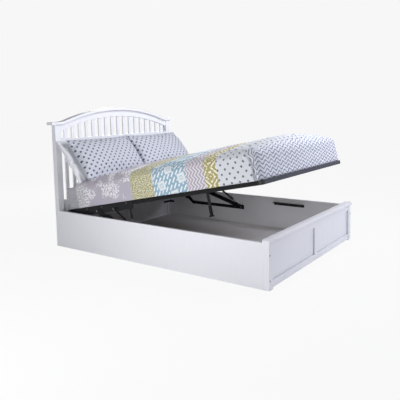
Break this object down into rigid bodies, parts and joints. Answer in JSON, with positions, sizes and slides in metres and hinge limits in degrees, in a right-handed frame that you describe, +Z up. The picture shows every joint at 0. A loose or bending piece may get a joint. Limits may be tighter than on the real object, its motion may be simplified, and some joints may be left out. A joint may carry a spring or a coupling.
{
  "type": "ottoman bed",
  "caption": "Ottoman storage bed with an arched slatted headboard, a panelled footboard and a made-up deck that lifts at the foot end on arms and gas struts.",
  "frame": {"origin": "on the ground under the middle of the bed's outline", "axes": "+X across the bed, +Y from the footboard to the headboard, +Z up; the rest pose has the deck lifted part way, as it stood when it was seen"},
  "size_m": [1.512, 2.074, 1.158],
  "materials": {
    "painted_wood": "satin white paint",
    "floor_board": "white-faced board",
    "slat_birch": "clear-lacquered birch",
    "black_plastic": "moulded, fine grain",
    "graphite_steel": "dark powder coat",
    "grey_steel": "grey powder coat",
    "zinc_steel": "zinc plated",
    "rod_chrome": "polished",
    "gloss_black": "gloss black paint",
    "black_steel": "black powder coat",
    "mattress_cover": "light grey knitted cover",
    "duvet_cotton": "printed cotton",
    "plain_cotton": "plain cotton",
    "dotted_cotton": "cotton with small dots"
  },
  "bodies": {
    "base": {"head_post_left": "painted_wood", "head_post_right": "painted_wood", "headboard_cap": "painted_wood", "headboard_arched_rail": "painted_wood", "headboard_upper_slats": "painted_wood", "headboard_middle_rail": "painted_wood", "headboard_lower_slats": "painted_wood", "headboard_lower_rail": "painted_wood", "head_end_panel": "painted_wood", "foot_post_left": "painted_wood", "foot_post_right": "painted_wood", "footboard_cap": "painted_wood", "footboard_top_rail": "painted_wood", "footboard_bottom_rail": "painted_wood", "footboard_centre_stile": "painted_wood", "footboard_panel_left": "painted_wood", "footboard_panel_right": "painted_wood", "side_panel_left": "painted_wood", "side_panel_right": "painted_wood", "frame_bolts": "zinc_steel", "barrel_nuts": "zinc_steel", "floor_boards": "floor_board", "floor_bearers": "floor_board", "corner_braces": "black_steel", "rest_bracket_left": "black_steel", "rest_bracket_right": "black_steel", "panel_screws": "zinc_steel", "lift_base_rail_left": "black_steel", "lift_base_rail_right": "black_steel", "base_pins": "zinc_steel", "pin_collars": "zinc_steel"},
    "lift_arm_left": {"lift_arm_left": "black_steel"},
    "lift_arm_right": {"lift_arm_right": "black_steel"},
    "rear_link_left": {"rear_link_left": "black_steel"},
    "rear_link_right": {"rear_link_right": "black_steel"},
    "strut_rod_left": {"strut_rod_left": "rod_chrome"},
    "strut_rod_right": {"strut_rod_right": "rod_chrome"},
    "strut_cylinder_left": {"strut_cylinder_left": "gloss_black"},
    "strut_cylinder_right": {"strut_cylinder_right": "gloss_black"},
    "deck": {"deck_side_rail_left": "graphite_steel", "deck_side_rail_right": "graphite_steel", "deck_head_rail": "graphite_steel", "deck_foot_rail": "grey_steel", "deck_centre_rail": "graphite_steel", "deck_corner_caps": "black_plastic", "deck_slats": "slat_birch", "slat_holders": "black_plastic", "centre_leg_tube": "grey_steel", "centre_leg_foot": "black_plastic", "deck_stay": "black_steel", "deck_bracket_left": "black_steel", "deck_bracket_right": "black_steel", "deck_bolts": "zinc_steel", "deck_pins": "zinc_steel", "mattress": "mattress_cover", "duvet": "duvet_cotton", "pillow_rear_left": "plain_cotton", "pillow_rear_right": "plain_cotton", "pillow_front_left": "dotted_cotton", "pillow_front_right": "dotted_cotton"}
  },
  "joints": [
    {"name": "platform_lift", "type": "hinge", "parent": "base", "child": "lift_arm_left", "pos_m": [-0.6731, 0.058, 0.184], "axis": [1, 0, 0], "range_deg": [-9.56, 13.72], "deforming": ["pillow_rear_left", "pillow_rear_right", "pillow_front_left", "pillow_front_right"]},
    {"name": "platform_tilt", "type": "hinge", "parent": "lift_arm_left", "child": "deck", "pos_m": [-0.6731, 0.56617, 0.33453], "axis": [-1, 0, 0], "range_deg": [-21.07, 30.24]},
    {"name": "right_arm_swing", "type": "hinge", "parent": "base", "child": "lift_arm_right", "pos_m": [0.6731, 0.058, 0.184], "axis": [1, 0, 0], "range_deg": [-9.58, 13.74]},
    {"name": "rear_link_left_swing", "type": "hinge", "parent": "base", "child": "rear_link_left", "pos_m": [-0.6731, 0.722, 0.222], "axis": [1, 0, 0], "range_deg": [-33.02, 47.38]},
    {"name": "rear_link_right_swing", "type": "hinge", "parent": "base", "child": "rear_link_right", "pos_m": [0.6731, 0.722, 0.222], "axis": [1, 0, 0], "range_deg": [-33.02, 47.38]},
    {"name": "strut_left_swing", "type": "hinge", "parent": "base", "child": "strut_rod_left", "pos_m": [-0.6854, 0.058, 0.184], "axis": [1, 0, 0], "range_deg": [-14.47, 20.77]},
    {"name": "strut_left_slide", "type": "slide", "parent": "strut_rod_left", "child": "strut_cylinder_left", "axis": [0, 0.8488, 0.5287], "range_m": [-0.06599, 0.09466]},
    {"name": "strut_right_swing", "type": "hinge", "parent": "base", "child": "strut_rod_right", "pos_m": [0.6854, 0.058, 0.184], "axis": [1, 0, 0], "range_deg": [-14.47, 20.77]},
    {"name": "strut_right_slide", "type": "slide", "parent": "strut_rod_right", "child": "strut_cylinder_right", "axis": [0, 0.8488, 0.5287], "range_m": [-0.06599, 0.09466]}
  ],
  "couplings": [
    {"joint": "platform_tilt", "follows": "platform_lift", "ratio": 2.2024},
    {"joint": "right_arm_swing", "follows": "platform_lift", "ratio": 1},
    {"joint": "rear_link_left_swing", "follows": "platform_lift", "ratio": 3.452},
    {"joint": "strut_left_swing", "follows": "platform_lift", "ratio": 1.512},
    {"joint": "strut_left_slide", "follows": "platform_lift", "m_per_rad": 0.3949},
    {"joint": "rear_link_right_swing", "follows": "platform_lift", "ratio": 3.452},
    {"joint": "strut_right_swing", "follows": "platform_lift", "ratio": 1.512},
    {"joint": "strut_right_slide", "follows": "platform_lift", "m_per_rad": 0.3949}
  ]
}
